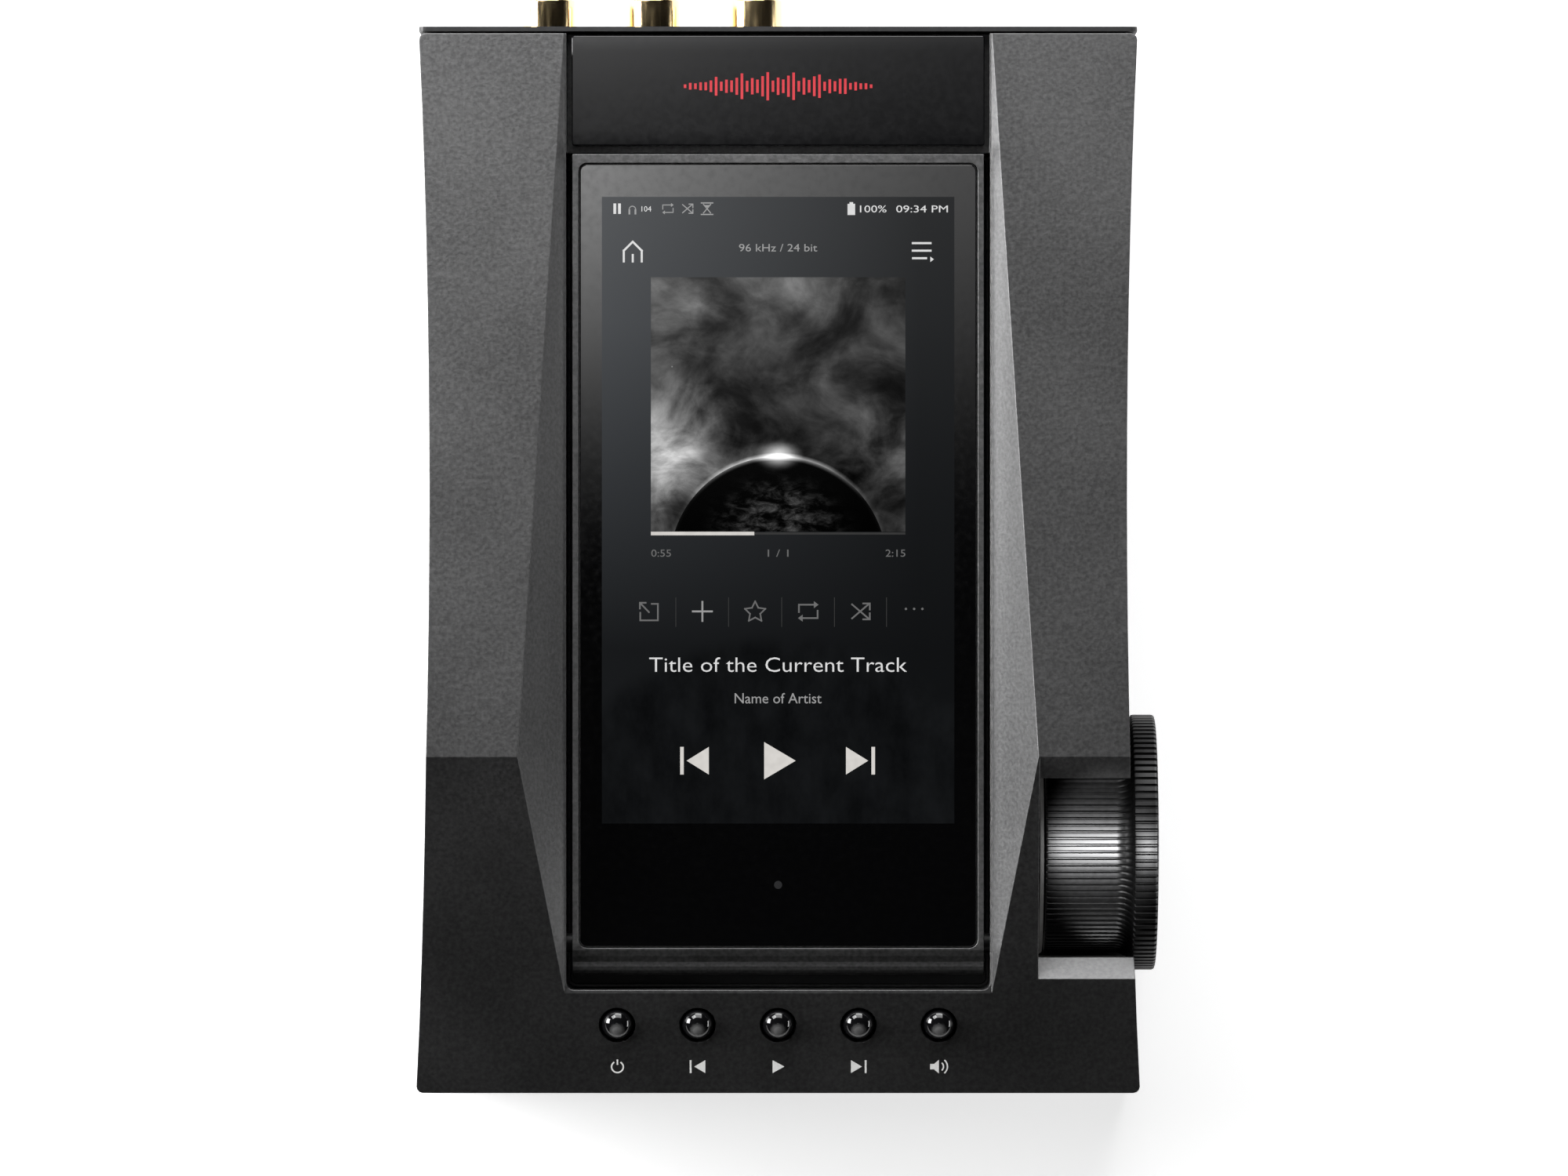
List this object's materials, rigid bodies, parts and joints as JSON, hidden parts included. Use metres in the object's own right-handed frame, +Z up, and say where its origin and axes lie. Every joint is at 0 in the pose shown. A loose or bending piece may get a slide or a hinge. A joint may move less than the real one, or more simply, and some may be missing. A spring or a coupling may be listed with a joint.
{
  "type": "digital audio player",
  "caption": "Desktop digital audio player in a faceted metal housing, with a touch display that tilts up, a side volume wheel, push buttons and audio sockets.",
  "frame": {"origin": "on the desk, under the middle of the bounding box", "axes": "+Z up out of the display, -Y towards the user (buttons and phone sockets), +X to the side with the volume wheel"},
  "size_m": [0.1034, 0.1534, 0.0453],
  "materials": {
    "housing_metal": "fine bead-blasted, dark anodised",
    "wheel_metal": "dark anodised, knurled",
    "gloss_black": "polished",
    "cover_glass": "polished",
    "screen": "smooth",
    "black_plastic": "fine texture",
    "rubber": "matt",
    "steel": "bright",
    "dark_steel": "blackened",
    "gold": "gold plated, polished",
    "bearing_brass": "turned",
    "light_guide": "translucent",
    "insulator_black": "moulded",
    "insulator_white": "moulded",
    "insulator_red": "moulded",
    "circuit_board": "solder mask",
    "battery_wrap": "film"
  },
  "bodies": {
    "housing": {"upper_housing": "housing_metal", "base_plate": "housing_metal", "crest_panel": "gloss_black", "rear_panel": "black_plastic", "well_tray": "black_plastic", "encoder_body": "black_plastic", "optical_port": "black_plastic", "foot_1": "rubber", "foot_2": "rubber", "foot_3": "rubber", "foot_4": "rubber", "base_screw_1": "steel", "base_screw_2": "steel", "base_screw_3": "steel", "base_screw_4": "steel", "shield_can": "steel", "amp_shield": "steel", "card_slot": "steel", "usb_c_port_charge": "steel", "usb_c_port_data": "steel", "rear_screw_1": "dark_steel", "rear_screw_2": "dark_steel", "rear_screw_3": "dark_steel", "rear_screw_4": "dark_steel", "phone_jack_6_35": "dark_steel", "phone_jack_4_4": "dark_steel", "phone_jack_3_5": "dark_steel", "phone_jack_2_5": "dark_steel", "rca_shell_coaxial": "gold", "rca_shell_left": "gold", "rca_shell_right": "gold", "hinge_bush_left": "bearing_brass", "hinge_bush_right": "bearing_brass", "wheel_light_ring": "light_guide", "crest_light_guide": "light_guide", "rca_insulator_coaxial": "insulator_black", "rca_insulator_left": "insulator_white", "rca_insulator_right": "insulator_red", "main_board": "circuit_board", "amp_board": "circuit_board", "button_board": "circuit_board", "battery_pack": "battery_wrap"},
    "display": {"display_frame": "housing_metal", "cover_glass": "cover_glass", "lcd_panel": "screen", "display_back_cover": "black_plastic", "hinge_pin_left": "steel", "hinge_pin_right": "steel"},
    "wheel": {"volume_wheel": "wheel_metal", "encoder_shaft": "steel"},
    "button_power_body": {"button_power": "gloss_black"},
    "button_previous_body": {"button_previous": "gloss_black"},
    "button_play_body": {"button_play": "gloss_black"},
    "button_next_body": {"button_next": "gloss_black"},
    "button_amp_body": {"button_amp": "gloss_black"}
  },
  "joints": [
    {"name": "display_tilt", "type": "hinge", "parent": "housing", "child": "display", "pos_m": [0, -0.0557, 0.0314], "axis": [1, 0, 0], "range_deg": [0, 60]},
    {"name": "volume_spin", "type": "hinge", "parent": "housing", "child": "wheel", "pos_m": [0.04382, -0.0419, 0.022], "axis": [1, 0, 0], "continuous": true},
    {"name": "press_power", "type": "slide", "parent": "housing", "child": "button_power_body", "axis": [0, 0.2733, -0.9619], "range_m": [0, 0.0006], "stiffness_N_per_m": 400, "springref_m": -0.001},
    {"name": "press_previous", "type": "slide", "parent": "housing", "child": "button_previous_body", "axis": [0, 0.2733, -0.9619], "range_m": [0, 0.0006], "stiffness_N_per_m": 400, "springref_m": -0.001},
    {"name": "press_play", "type": "slide", "parent": "housing", "child": "button_play_body", "axis": [0, 0.2733, -0.9619], "range_m": [0, 0.0006], "stiffness_N_per_m": 400, "springref_m": -0.001},
    {"name": "press_next", "type": "slide", "parent": "housing", "child": "button_next_body", "axis": [0, 0.2733, -0.9619], "range_m": [0, 0.0006], "stiffness_N_per_m": 400, "springref_m": -0.001},
    {"name": "press_amp", "type": "slide", "parent": "housing", "child": "button_amp_body", "axis": [0, 0.2733, -0.9619], "range_m": [0, 0.0006], "stiffness_N_per_m": 400, "springref_m": -0.001}
  ]
}
